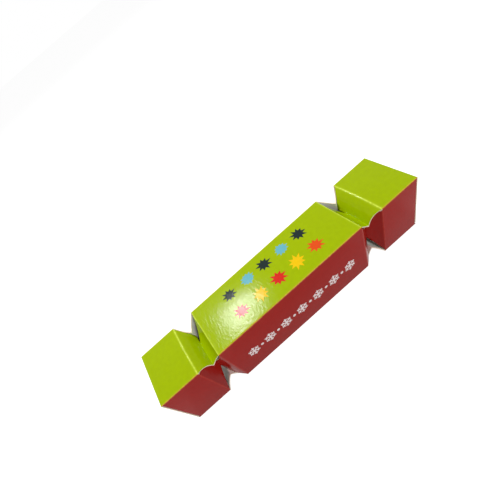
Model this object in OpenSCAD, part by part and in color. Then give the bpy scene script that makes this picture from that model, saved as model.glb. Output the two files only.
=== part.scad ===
// Square christmas cracker folded from one printed carton blank.
// The blank is creased into a glued tube: a long middle box, two pinched
// necks and two end boxes with tuck lids. A pull-apart snap runs through
// the necks, and the middle box holds the crown, the motto and the gift.
// Millimetres. X runs along the cracker, Z is up, and the cracker lies on
// its lowest panel with the origin under its middle.

/* [Tube] */
// Width across the outer faces of the tube
body_w = 36; // [32:1:44]
// Height across the outer faces of the tube
body_h = 36; // [32:1:44]
// Length of the middle box, crease to crease
barrel_len = 98; // [84:1:130]
// Length of each neck as it stands pinched
neck_len = 14; // [12:0.5:17]
// Length of each end box, from its inner crease to the outside of its lid
end_len = 25; // [23:1:36]
// Thickness of the carton board
board_t = 0.6; // [0.4:0.05:0.8]
// Slit left at each crease, so that the panels turn freely
crease_gap = 0.1; // [0.05:0.05:0.2]

/* [Neck] */
// Depth of the valley that is pinched into each side of a neck
valley_depth = 8; // [6:0.5:8.5]
// How far the cut-out takes a panel's edge back at the valley, where the edge lies over its neighbour
over_cut = 3.3; // [2.5:0.1:6]
// The same for the upper edge of the back panel
back_over_cut = 4; // [3:0.5:6]
// The same where the neck stands open: at the lower edge of the front panel on the end box's side, and at
// the back edge of the upper panel on the middle box's side
open_cut = 16; // [10:1:20]
// Distance from the corner at which an edge that lies under its neighbour starts
under_start = 1.3; // [1.2:0.1:2.5]
// Room between an edge that lies under its neighbour and that neighbour, at the valley
under_room = 0.3; // [0.2:0.1:1]
// Radius of the curved edges of the cut-out
cut_r = 16; // [14:1:30]

/* [Closure] */
// Length of the tongue that tucks the lid shut
tuck_len = 8; // [6:0.5:9]
// Radius of the tongue's corners
tuck_r = 4; // [2:0.5:5]
// Clearance from the tongue's edge to the side walls
tuck_side_gap = 1.8; // [1.5:0.1:3]
// Clearance from the tongue's crease to the lower wall
tuck_gap = 0.4; // [0.3:0.05:0.6]
// Clearance from the lid to the ends of the side walls
lid_gap = 0.15; // [0.1:0.05:0.3]
// Distance from the lid's edges to the outside of the tube
lid_side_gap = 0.3; // [0.2:0.1:0.8]
// Width of each dust flap, from the side wall inwards
dust_w = 14; // [10:0.5:15]
// Distance from a dust flap's upper edge to the upper wall
dust_top_gap = 0.6; // [0.4:0.1:1.5]
// Distance from a dust flap's lower edge to the lower wall
dust_low_gap = 3.6; // [3.4:0.1:5]
// Width of the glued seam flap
glue_w = 9; // [6:0.5:12]
// Distance from the seam flap's ends to the creases
glue_end_gap = 2; // [1.5:0.5:4]

/* [Snap] */
// Width of the snap's card strips
snap_w = 9; // [6:0.5:12]
// Thickness of a card strip
snap_t = 0.8; // [0.5:0.1:1.2]
// Gap between the strips, where the friction compound sits
snap_gap = 0.1; // [0.05:0.05:0.2]
// Length over which the two strips overlap
snap_lap = 26; // [20:1:34]
// Distance from the upper strip to the tips of the upper valleys
snap_drop = 0.9; // [0.5:0.1:2]
// Length of the foot that glues a strip into its end box
snap_foot = 9; // [6:0.5:11]
// Run over which a strip climbs to its foot
snap_climb = 7; // [6:0.5:8]
// Distance from the neck to the start of that climb
snap_lead = 1.5; // [1:0.5:2]
// Length of the paper sleeve round the overlap
sleeve_len = 20; // [14:1:24]
// Thickness of the sleeve
sleeve_t = 0.25; // [0.2:0.05:0.4]
// Clearance between the sleeve and the strips
sleeve_gap = 0.1; // [0.05:0.05:0.2]

/* [Contents] */
// Width of the folded crown
crown_w = 24; // [18:1:28]
// Layers of tissue in the folded crown
crown_layers = 6; // [3:1:8]
// Thickness of a layer
crown_t = 0.3; // [0.2:0.05:0.4]
// Distance from one layer to the next
crown_pitch = 0.9; // [0.7:0.05:1.1]
// Number of points along the crown's end
crown_points = 3; // [2:1:4]
// Length of a point
crown_point = 7; // [4:0.5:9]
// Distance from the crown to the middle box's left end
crown_end_gap = 3; // [2:0.5:6]
// Distance from the crown, which is folded to the length that is left, to the card pack
crown_pack_gap = 6; // [3:0.5:10]
// Length of the paper motto slip
motto_len = 46; // [30:1:50]
// Width of the motto slip
motto_w = 16; // [10:0.5:18]
// Thickness of the motto slip
motto_t = 0.2; // [0.15:0.05:0.3]
// Length of the card pack given as the gift
pack_len = 26; // [20:0.5:28]
// Width of the card pack
pack_w = 19; // [14:0.5:24]
// Height of the card pack
pack_h = 8; // [5:0.5:12]
// Wall of the card pack's box
pack_wall = 0.5; // [0.4:0.05:0.7]
// Clearance between the cards and their box
pack_gap = 0.15; // [0.1:0.05:0.3]
// Radius of the thumb notch in the card box
thumb_r = 4; // [2.5:0.5:5]
// Distance from the card pack to the middle box's right end
pack_end_gap = 3; // [2:0.5:5]

/* [Hidden] */
$fn = 64;
over = 1;
quarter = 90;
tuck_tilt = 10;
dust_taper = 26;
dust_low_taper = 8;
motto_place_share = 0.45;

SIDES = ["top", "front", "bottom", "back"];
ENDS = ["right", "left"];
lime = [0.64, 0.77, 0.02];
red = [0.78, 0.13, 0.09];
burgundy = [0.44, 0.13, 0.15];
raw_board = [0.80, 0.79, 0.74];
SIDE_COLOURS = [lime, red, burgundy, red];

barrel_x = barrel_len / 2;
end_x = barrel_x + neck_len;
outer_x = end_x + end_len;
wall_x = outer_x - board_t - lid_gap;

run = neck_len / 2;
fold = atan(valley_depth / run);
slope_len = norm([run, valley_depth]);
crease_mitre = board_t * tan(fold / 2);
valley_mitre = board_t * tan(fold);
valley_tip = valley_depth + board_t / cos(fold);
under_cut = valley_tip + under_room;

lid_h = body_h - board_t - tuck_gap;
tuck_turn = quarter + tuck_tilt;
tuck_mitre = board_t * tan(tuck_turn / 2);
tuck_w = body_w - 2 * board_t - 2 * tuck_side_gap;

snap_high = body_h - valley_tip - snap_drop - snap_t;
snap_low = snap_high - snap_t - snap_gap;
crown_x = -barrel_x + crown_end_gap;
crown_top = board_t + (crown_layers - 1) * crown_pitch + crown_t;
pack_x = barrel_x - pack_end_gap - pack_len;
crown_len = pack_x - crown_pack_gap - crown_x;

NODES = concat(
    [for (k = [0:3]) str("barrel_", SIDES[k])],
    ["barrel_glue_flap"],
    [for (e = [0:1], k = [0:3]) str("neck_", ENDS[e], "_", SIDES[k], "_inner")],
    [for (e = [0:1], k = [0:3]) str("neck_", ENDS[e], "_", SIDES[k], "_outer")],
    [for (e = [0:1], k = [0:3]) str("end_", ENDS[e], "_", SIDES[k])],
    [for (e = [0:1]) str("end_", ENDS[e], "_glue_flap")],
    [for (e = [0:1]) str("lid_", ENDS[e])],
    [for (e = [0:1]) str("tuck_", ENDS[e])],
    [for (e = [0:1]) str("dust_", ENDS[e], "_front")],
    [for (e = [0:1]) str("dust_", ENDS[e], "_back")],
    [for (e = [0:1]) str("snap_strip_", ENDS[e])],
    ["snap_sleeve", "paper_crown", "motto_slip", "gift_card_box", "gift_cards"]
);
node = "all";

// Whether a named node is to be drawn
function wanted(name) = node == "all" || node == name;

// Size of side k across the tube, and its distance from the tube's axis
function across(k) = k % 2 == 0 ? body_w : body_h;
function reach(k) = (k % 2 == 0 ? body_h : body_w) / 2;

// How far the cut-out takes the two edges of side k back, at the creases and at the valley.
// The back panel lies over both its neighbours, and the front panel under both.
CUT_STARTS = [[0, under_start], [under_start, under_start], [under_start, 0], [0, 0]];
CUT_ENDS = [[over_cut, under_cut], [under_cut, under_cut], [under_cut, over_cut], [back_over_cut, over_cut]];
CUT_ENDS_INNER = [[over_cut, open_cut], CUT_ENDS[1], CUT_ENDS[2], CUT_ENDS[3]];
CUT_ENDS_OUTER = [CUT_ENDS[0], [open_cut, under_cut], CUT_ENDS[2], CUT_ENDS[3]];

// Draws on side k, with x along the cracker, y across the panel and z = 0 on its outer face
module on_side(k) {
    translate([0, 0, body_h / 2]) rotate([quarter * k, 0, 0]) translate([0, 0, reach(k)]) children();
}

// Draws at the right end, or mirrored at the left
module at_end(e) {
    if (e == 0) children();
    else mirror([1, 0, 0]) children();
}

// A bar with its outline in x and z, and its length along y
module prism_y(points, width) {
    rotate([quarter, 0, 0]) linear_extrude(height = width, center = true) polygon(points);
}

// A bar with its outline in y and z, and its length along x
module prism_x(points, from, to) {
    translate([from, 0, 0]) rotate([quarter, 0, quarter]) linear_extrude(height = to - from) polygon(points);
}

// A wall of the tube: its ends as given by points, and its long edges mitred to its neighbours
module wall(k, points, from, to) {
    half = across(k) / 2;
    intersection() {
        prism_y(points, across(k) + over);
        prism_x([[-half, 0], [half, 0], [half - board_t, -board_t], [-half + board_t, -board_t]],
                from - over, to + over);
    }
}

// One panel of the middle box
module barrel_panel(k) {
    x = barrel_x - crease_gap / 2;
    x_in = x - crease_mitre;
    color(SIDE_COLOURS[k]) on_side(k)
        wall(k, [[-x, 0], [x, 0], [x_in, -board_t], [-x_in, -board_t]], -x, x);
}

// The seam flap, glued inside the back panel along its lower edge
module glue_flap(from, to) {
    color(raw_board) on_side(3)
        translate([from, across(3) / 2 - board_t - glue_w, -2 * board_t]) cube([to - from, glue_w, board_t]);
}

// A slope of a neck panel laid flat, narrowing from its crease to its valley. An edge that lies under
// its neighbour is straight, as the open ones are, and the others are curved.
module slope_outline(k, cuts) {
    half = across(k) / 2;
    roots = [for (cut = CUT_STARTS[k]) half - cut];
    tips = [for (cut = cuts) half - cut];
    end = slope_len + valley_mitre + over;
    difference() {
        polygon([[0, -roots[0]], [slope_len, -tips[0]], [end, -tips[0]],
                 [end, tips[1]], [slope_len, tips[1]], [0, roots[1]]]);
        for (i = [0:1]) if (cuts[i] < under_cut) {
            narrowing = roots[i] - tips[i];
            chord = norm([slope_len, narrowing]);
            lift = sqrt(pow(cut_r, 2) - pow(chord / 2, 2));
            y = (roots[i] + tips[i]) / 2 + slope_len / chord * lift;
            translate([slope_len / 2 + narrowing / chord * lift, i == 0 ? -y : y]) circle(r = cut_r);
        }
    }
}

// A slope of a neck panel in place, with its crease at x = 0 and its valley at x = run
module slope(k, cuts) {
    color(SIDE_COLOURS[k]) on_side(k) rotate([0, fold, 0]) intersection() {
        prism_y([[crease_gap / 2, 0], [slope_len - crease_gap / 2, 0],
                 [slope_len + valley_mitre - crease_gap / 2, -board_t],
                 [crease_mitre + crease_gap / 2, -board_t]], across(k) + over);
        translate([0, 0, -board_t - over]) linear_extrude(height = board_t + 2 * over) slope_outline(k, cuts);
    }
}

// The slope that falls from the middle box's crease to the valley
module neck_inner(k) {
    translate([barrel_x, 0, 0]) slope(k, CUT_ENDS_INNER[k]);
}

// The slope that falls from the end box's crease to the valley
module neck_outer(k) {
    translate([end_x, 0, 0]) mirror([1, 0, 0]) slope(k, CUT_ENDS_OUTER[k]);
}

// One panel of an end box
module end_panel(k) {
    x = end_x + crease_gap / 2;
    far = k == 2 ? outer_x : (k == 0 ? outer_x : wall_x) - crease_gap / 2;
    far_in = k == 2 ? far : far - board_t;
    color(SIDE_COLOURS[k]) on_side(k)
        wall(k, [[x, 0], [far, 0], [far_in, -board_t], [x + crease_mitre, -board_t]], x, far);
}

// The lid that closes an end box, creased to its upper panel
module lid() {
    color(lime) on_side(0) prism_y([
        [outer_x, -crease_gap / 2],
        [outer_x, -lid_h + crease_gap / 2],
        [outer_x - board_t, -lid_h + tuck_mitre + crease_gap / 2],
        [outer_x - board_t, -board_t - crease_gap / 2]
    ], body_w - 2 * lid_side_gap);
}

// The tongue laid flat, with round corners at its tip
module tuck_outline() {
    square_len = tuck_len - tuck_r;
    translate([0, -tuck_w / 2]) square([square_len, tuck_w]);
    translate([0, -tuck_w / 2 + tuck_r]) square([tuck_len, tuck_w - 2 * tuck_r]);
    for (side = [-1, 1]) translate([square_len, side * (tuck_w / 2 - tuck_r)]) circle(r = tuck_r);
}

// The tongue that tucks inside the lower panel and holds the lid shut
module tuck() {
    color(lime) on_side(0) translate([outer_x, 0, -lid_h]) rotate([0, 2 * quarter + tuck_tilt, 0]) intersection() {
        prism_y([[crease_gap / 2, 0], [tuck_len + over, 0], [tuck_len + over, -board_t],
                 [tuck_mitre + crease_gap / 2, -board_t]], tuck_w + over);
        translate([0, 0, -board_t - over]) linear_extrude(height = board_t + 2 * over) tuck_outline();
    }
}

// A dust flap, creased to the end of a side wall and folded in behind the lid
module dust_flap(k) {
    half = body_h / 2 - board_t;
    low = -half + dust_low_gap;
    high = half - dust_top_gap;
    color(SIDE_COLOURS[k]) on_side(k) mirror([0, k == 3 ? 1 : 0, 0]) intersection() {
        prism_y([[wall_x, -crease_gap / 2], [wall_x, -dust_w], [wall_x - board_t, -dust_w],
                 [wall_x - board_t, -board_t - crease_gap / 2]], body_h);
        prism_x([[low, over], [high, over], [high, 0], [high - dust_w * tan(dust_taper), -dust_w],
                 [low + dust_w * tan(dust_low_taper), -dust_w], [low, 0]],
                wall_x - board_t - over, wall_x + over);
    }
}

// One card strip of the snap: it crosses the middle, runs out through the neck
// and climbs to a foot that is glued under the end box's upper panel
module snap_strip(level) {
    start = -snap_lap / 2;
    bend = end_x + snap_lead;
    top = bend + snap_climb;
    foot = top + snap_foot;
    high = body_h - board_t - snap_t;
    color(raw_board) prism_y([
        [start, level], [bend, level], [top, high], [foot, high],
        [foot, high + snap_t], [top, high + snap_t], [bend, level + snap_t], [start, level + snap_t]
    ], snap_w);
}

// The paper sleeve glued round the left strip, in which the right strip slides
module snap_sleeve() {
    inside_w = snap_w + 2 * sleeve_gap;
    low = snap_low - sleeve_gap;
    inside_h = snap_high + snap_t + sleeve_gap - low;
    color("ivory") difference() {
        translate([-sleeve_len / 2, -inside_w / 2 - sleeve_t, low - sleeve_t])
            cube([sleeve_len, inside_w + 2 * sleeve_t, inside_h + 2 * sleeve_t]);
        translate([-sleeve_len / 2 - over, -inside_w / 2, low]) cube([sleeve_len + 2 * over, inside_w, inside_h]);
    }
}

// The tissue crown, pleated back and forth, with its points at the right end
module paper_crown() {
    point_w = crown_w / crown_points;
    crown_h = crown_top - board_t;
    color("gold") difference() {
        union() {
            for (i = [0:crown_layers - 1])
                translate([crown_x, -crown_w / 2, board_t + i * crown_pitch]) cube([crown_len, crown_w, crown_t]);
            for (i = [0:crown_layers - 2])
                translate([crown_x, i % 2 == 0 ? -crown_w / 2 : crown_w / 2 - crown_t, board_t + i * crown_pitch])
                    cube([crown_len, crown_t, crown_pitch + crown_t]);
        }
        for (i = [0:crown_points])
            translate([crown_x + crown_len, -crown_w / 2 + i * point_w, board_t - over])
                linear_extrude(height = crown_h + 2 * over)
                    polygon([[-crown_point, 0], [over, -point_w / 2], [over, point_w / 2]]);
    }
}

// The paper slip with the motto, lying on the crown
module motto_slip() {
    color("white")
        translate([crown_x + (crown_len - motto_len) * motto_place_share, -motto_w / 2, crown_top])
            cube([motto_len, motto_w, motto_t]);
}

// The open-ended box of the card pack, with its thumb notch
module gift_card_box() {
    color("steelblue") difference() {
        translate([pack_x, -pack_w / 2, board_t]) cube([pack_len, pack_w, pack_h]);
        translate([pack_x - over, -pack_w / 2 + pack_wall, board_t + pack_wall])
            cube([pack_len - pack_wall + over, pack_w - 2 * pack_wall, pack_h - 2 * pack_wall]);
        translate([pack_x, 0, board_t + pack_h / 2]) cylinder(r = thumb_r, h = pack_h);
    }
}

// The cards, which fill their box
module gift_cards() {
    color("white")
        translate([pack_x, -pack_w / 2 + pack_wall + pack_gap, board_t + pack_wall])
            cube([pack_len - pack_wall - pack_gap, pack_w - 2 * (pack_wall + pack_gap),
                  pack_h - 2 * pack_wall - pack_gap]);
}

for (k = [0:3]) if (wanted(str("barrel_", SIDES[k]))) barrel_panel(k);
if (wanted("barrel_glue_flap")) glue_flap(-barrel_x + glue_end_gap, barrel_x - glue_end_gap);
for (e = [0:1], k = [0:3]) if (wanted(str("neck_", ENDS[e], "_", SIDES[k], "_inner"))) at_end(e) neck_inner(k);
for (e = [0:1], k = [0:3]) if (wanted(str("neck_", ENDS[e], "_", SIDES[k], "_outer"))) at_end(e) neck_outer(k);
for (e = [0:1], k = [0:3]) if (wanted(str("end_", ENDS[e], "_", SIDES[k]))) at_end(e) end_panel(k);
for (e = [0:1]) if (wanted(str("end_", ENDS[e], "_glue_flap")))
    at_end(e) glue_flap(end_x + glue_end_gap, wall_x - glue_end_gap);
for (e = [0:1]) if (wanted(str("lid_", ENDS[e]))) at_end(e) lid();
for (e = [0:1]) if (wanted(str("tuck_", ENDS[e]))) at_end(e) tuck();
for (e = [0:1]) if (wanted(str("dust_", ENDS[e], "_front"))) at_end(e) dust_flap(1);
for (e = [0:1]) if (wanted(str("dust_", ENDS[e], "_back"))) at_end(e) dust_flap(3);
for (e = [0:1]) if (wanted(str("snap_strip_", ENDS[e]))) at_end(e) snap_strip(e == 0 ? snap_high : snap_low);
if (wanted("snap_sleeve")) snap_sleeve();
if (wanted("paper_crown")) paper_crown();
if (wanted("motto_slip")) motto_slip();
if (wanted("gift_card_box")) gift_card_box();
if (wanted("gift_cards")) gift_cards();
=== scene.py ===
# Looks of a square christmas cracker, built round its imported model.
import math

import bmesh
import bpy
from mathutils import Matrix, Vector
from mathutils.geometry import delaunay_2d_cdt


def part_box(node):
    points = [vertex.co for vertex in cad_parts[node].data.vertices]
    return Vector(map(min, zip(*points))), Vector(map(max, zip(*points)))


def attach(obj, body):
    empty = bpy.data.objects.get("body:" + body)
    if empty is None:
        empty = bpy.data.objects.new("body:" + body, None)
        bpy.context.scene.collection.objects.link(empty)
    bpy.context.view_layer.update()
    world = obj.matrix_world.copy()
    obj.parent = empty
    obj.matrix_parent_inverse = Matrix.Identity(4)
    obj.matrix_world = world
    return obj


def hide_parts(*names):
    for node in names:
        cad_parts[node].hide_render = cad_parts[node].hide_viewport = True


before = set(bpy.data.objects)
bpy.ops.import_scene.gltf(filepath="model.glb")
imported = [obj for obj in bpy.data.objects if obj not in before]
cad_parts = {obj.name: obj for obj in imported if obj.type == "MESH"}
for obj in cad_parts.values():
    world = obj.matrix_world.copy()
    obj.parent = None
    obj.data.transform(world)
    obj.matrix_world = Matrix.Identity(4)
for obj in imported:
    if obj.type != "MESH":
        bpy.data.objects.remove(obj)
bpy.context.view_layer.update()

# Middle box
# Four panels of the printed carton blank, creased to each other along their long edges.
# The board is grey-white inside, coated and printed outside, and cut edges show its cream core.
# Lengths are in millimetres, as in the part's source, and MM makes metres of them.
MM = 0.001
SLIT = 0.1
BOARD = 0.6
top_low, top_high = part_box("barrel_top")
front_low, front_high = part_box("barrel_front")
TUBE_W = (top_high.y - top_low.y) / MM
TUBE_H = (front_high.z - front_low.z) / MM
BARREL_X = top_high.x / MM + SLIT / 2
SQUARE = math.radians(90)
CORNER_R = 0.7
CREASE_R = 1.0
VALLEY_R = 0.12
ROUND_STEPS = 4
SHARP = math.radians(32)
# The raw face gives way to a crease over this length, and the mesh has lines this far from it.
BACK_EASE = 2.0
CREASE_MARKS = (1.0, 2.0)
# The print turns paler this far from a crease across the cracker, from wear and a painted highlight, and
# wears this far from one along it.
WEAR_AND_HIGHLIGHT_WIDTHS = (0.62, 0.9)
VALLEY_DEPTH = 8.0
VALLEY_RUN = 7.0
FOLD = math.atan2(VALLEY_DEPTH, VALLEY_RUN)
# The tube's sides go by number, k, in the order in which they follow each other round it.
TOP, FRONT, BOTTOM, BACK = range(4)
SIDES = ("top", "front", "bottom", "back")
ENDS = (("right", 1), ("left", -1))


def across(k):
    """Width of side k of the tube."""
    return TUBE_W if k in (TOP, BOTTOM) else TUBE_H


def on_side(k, x, y, z):
    """A point in metres from x along the cracker, y across side k and z out of its face."""
    out = z + (TUBE_H if k in (TOP, BOTTOM) else TUBE_W) / 2
    side_y, side_z = ((y, out), (-out, y), (-y, -out), (out, -y))[k]
    return Vector((x * MM, side_y * MM, (side_z + TUBE_H / 2) * MM))


def colour(screen):
    """A colour for a shader, from its red, green and blue on a screen."""
    shares = [part / 255 for part in screen]
    return [((share + 0.055) / 1.055) ** 2.4 if share > 0.04 else share / 12.92 for share in shares] + [1.0]


NOISE_LOW = 0.3
NOISE_HIGH = 0.7
# The Mix node's sockets for colours, which share their names with its other sockets.
COLOUR_A = 6
COLOUR_B = 7
COLOUR_OUT = 2


class Finish:
    """Nodes of one material, with the wires between them."""

    def __init__(self, name):
        self.material = bpy.data.materials.new(name)
        self.material.use_nodes = True
        self.tree = self.material.node_tree
        self.tree.nodes.clear()
        self.surface = self.add("ShaderNodeBsdfPrincipled")
        self.place = self.add("ShaderNodeTexCoord").outputs["Object"]
        end = self.add("ShaderNodeOutputMaterial")
        self.wire(self.surface.outputs["BSDF"], end.inputs["Surface"])

    def add(self, kind, **settings):
        node = self.tree.nodes.new(kind)
        for key, value in settings.items():
            setattr(node, key, value)
        return node

    def wire(self, start, end):
        self.tree.links.new(start, end)

    def stretched(self, x, y, z):
        """Object coordinates drawn out along an axis, for fibres."""
        node = self.add("ShaderNodeMapping")
        node.inputs["Scale"].default_value = (x, y, z)
        self.wire(self.place, node.inputs["Vector"])
        return node.outputs["Vector"]

    def grain(self, per_metre, low, high, detail=2.0, place=None):
        """Noise with so many grains a metre, its usual range spread from low to high."""
        noise = self.add("ShaderNodeTexNoise")
        noise.inputs["Scale"].default_value = per_metre
        noise.inputs["Detail"].default_value = detail
        self.wire(place or self.place, noise.inputs["Vector"])
        spread = self.add("ShaderNodeMapRange")
        spread.inputs["From Min"].default_value = NOISE_LOW
        spread.inputs["From Max"].default_value = NOISE_HIGH
        spread.inputs["To Min"].default_value = low
        spread.inputs["To Max"].default_value = high
        self.wire(noise.outputs["Fac"], spread.inputs["Value"])
        return spread.outputs["Result"]

    def product(self, first, second):
        """One value times another, held between 0 and 1."""
        node = self.add("ShaderNodeMath", operation="MULTIPLY", use_clamp=True)
        self.wire(first, node.inputs[0])
        self.wire(second, node.inputs[1])
        return node.outputs["Value"]

    def shade(self, tint, value):
        """A colour made lighter and darker by a value about 1."""
        node = self.add("ShaderNodeHueSaturation")
        if isinstance(tint, list):
            node.inputs["Color"].default_value = tint
        else:
            self.wire(tint, node.inputs["Color"])
        self.wire(value, node.inputs["Value"])
        return node.outputs["Color"]

    def mix(self, share, first, second):
        """The first colour, going over into the second as the share rises."""
        node = self.add("ShaderNodeMix", data_type="RGBA")
        self.wire(share, node.inputs["Factor"])
        self.wire(first, node.inputs[COLOUR_A])
        node.inputs[COLOUR_B].default_value = second
        return node.outputs[COLOUR_OUT]

    def relief(self, height, depth):
        """Bumps of that depth in metres."""
        node = self.add("ShaderNodeBump")
        node.inputs["Strength"].default_value = 1.0
        node.inputs["Distance"].default_value = depth
        self.wire(height, node.inputs["Height"])
        self.wire(node.outputs["Normal"], self.surface.inputs["Normal"])


# A grain is given as how many a metre, the lowest and highest value, and the noise's detail.
INK_BLOTCHES = (420, 0.965, 1.035, 3.0)
COAT_ROUGHNESS = (1100, 0.09, 0.17)
COAT_STREAKS = (880, 0.0, 1.0, 3.0)
STREAK_SHAPE = (1.0, 0.45, 0.45)
STREAK_DEPTH = 0.000028
INK_GLOSS = 0.06
WEAR_AND_HIGHLIGHT_GRAINS = 700
WEAR_AND_HIGHLIGHT_LEAST = {"crease": 0.42, "long_edge": 0.4}
WEAR_AND_HIGHLIGHT_MOST = 1.1


def coated(name, ink, wear_and_highlight, bare=None):
    """Ink under a clear coat on carton board, with fine streaks across the panel.

    Creases are paler, from wear and a painted highlight on the ridge; long edges wear down to the bare
    board.
    """
    finish = Finish(name)
    tint = finish.shade(colour(ink), finish.grain(*INK_BLOTCHES))
    # The crease colour is part wear and part a painted highlight on the crease's ridge; the long edges'
    # colour is wear.
    for label, paler in (("crease", wear_and_highlight), ("long_edge", bare or wear_and_highlight)):
        near = finish.add("ShaderNodeAttribute", attribute_name=label)
        patches = finish.grain(WEAR_AND_HIGHLIGHT_GRAINS, WEAR_AND_HIGHLIGHT_LEAST[label], WEAR_AND_HIGHLIGHT_MOST, 3.0)
        tint = finish.mix(finish.product(near.outputs["Fac"], patches), tint, colour(paler))
    finish.wire(tint, finish.surface.inputs["Base Color"])
    finish.surface.inputs["Specular IOR Level"].default_value = INK_GLOSS
    finish.wire(finish.grain(*COAT_ROUGHNESS), finish.surface.inputs["Roughness"])
    finish.relief(finish.grain(*COAT_STREAKS, finish.stretched(*STREAK_SHAPE)), STREAK_DEPTH)
    return finish.material


BOARD_BLOTCHES = (160, 0.95, 1.04, 4.0)
SPECK_GRAINS = 1900
SPECK_SHAPE = (0.35, 1.0, 1.0)
FIBRES = (1500, 0.0, 1.0, 3.0)
FIBRE_DEPTH = 0.00003


def fibrous(name, tint, dark, specks, roughness):
    """Uncoated board or paper: short fibres, a little darker here and there."""
    finish = Finish(name)
    soft = finish.shade(colour(tint), finish.grain(*BOARD_BLOTCHES))
    speck = finish.grain(SPECK_GRAINS, -specks, specks, 2.0, finish.stretched(*SPECK_SHAPE))
    finish.wire(finish.mix(speck, soft, colour(dark)), finish.surface.inputs["Base Color"])
    finish.surface.inputs["Roughness"].default_value = roughness
    finish.relief(finish.grain(*FIBRES), FIBRE_DEPTH)
    return finish.material


# Each ink is given with its paler crease colour, which is wear and a painted highlight, and its bare edge
# colour where it has one.
LIME = coated("lime_ink", (164, 188, 1), (232, 252, 92), (244, 188, 78))
RED = coated("red_ink", (168, 29, 21), (190, 62, 50), (206, 112, 80))
BURGUNDY = coated("burgundy_ink", (112, 38, 40), (150, 80, 78), (170, 110, 96))
STAR_DARK = coated("star_dark_ink", (38, 52, 50), (120, 130, 125))
STAR_BLUE = coated("star_blue_ink", (112, 186, 200), (190, 220, 225))
STAR_ORANGE = coated("star_orange_ink", (232, 84, 30), (240, 150, 110))
STAR_YELLOW = coated("star_yellow_ink", (247, 202, 20), (250, 225, 120))
STAR_RED = coated("star_red_ink", (220, 48, 36), (235, 130, 110))
WHITE_INK = coated("white_ink", (254, 240, 238), (255, 246, 242))
TREE_GREEN = coated("tree_green_ink", (96, 150, 40), (150, 190, 100))
TREE_DARK = coated("tree_dark_ink", (24, 66, 50), (80, 110, 95))
RAW_BOARD = fibrous("raw_board", (252, 250, 240), (226, 223, 212), 0.35, 0.85)
CUT_EDGE = fibrous("cut_edge", (255, 236, 210), (250, 214, 182), 0.3, 0.9)
SIDE_INKS = (LIME, RED, BURGUNDY, RED)
SIDE_SLOTS = ("lime_print", "red_print", "burgundy_print", "red_print")


def eased(away, half, radius):
    """How a crease rounds the face at a distance from it: the new distance, and the move outwards."""
    tangent = radius * math.tan(abs(half))
    if away >= tangent:
        return away, 0.0
    turn = abs(half) * (1 - away / tangent)
    return tangent - radius * math.sin(turn), math.copysign(radius * (1 - math.cos(turn)), -half)


CROWDED = 0.3


def stepped(low, high, step, marks):
    """Lines from low to high, about a step apart, with the marked ones among them."""
    lines = sorted(m for m in marks if low < m < high)
    count = max(1, round((high - low) / step))
    for i in range(1, count):
        line = low + (high - low) * i / count
        if all(abs(line - other) > CROWDED * step for other in lines):
            lines.append(line)
    return sorted(lines)


def flat(u, v):
    """No bow at all."""
    return 0.0


# How far the mesh's lines run past the outline, how near an edge lies to be on a crease, and how near
# two points are one.
OVERHANG = 0.5
ON_LINE = 0.01
MERGED = 0.0001


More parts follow.
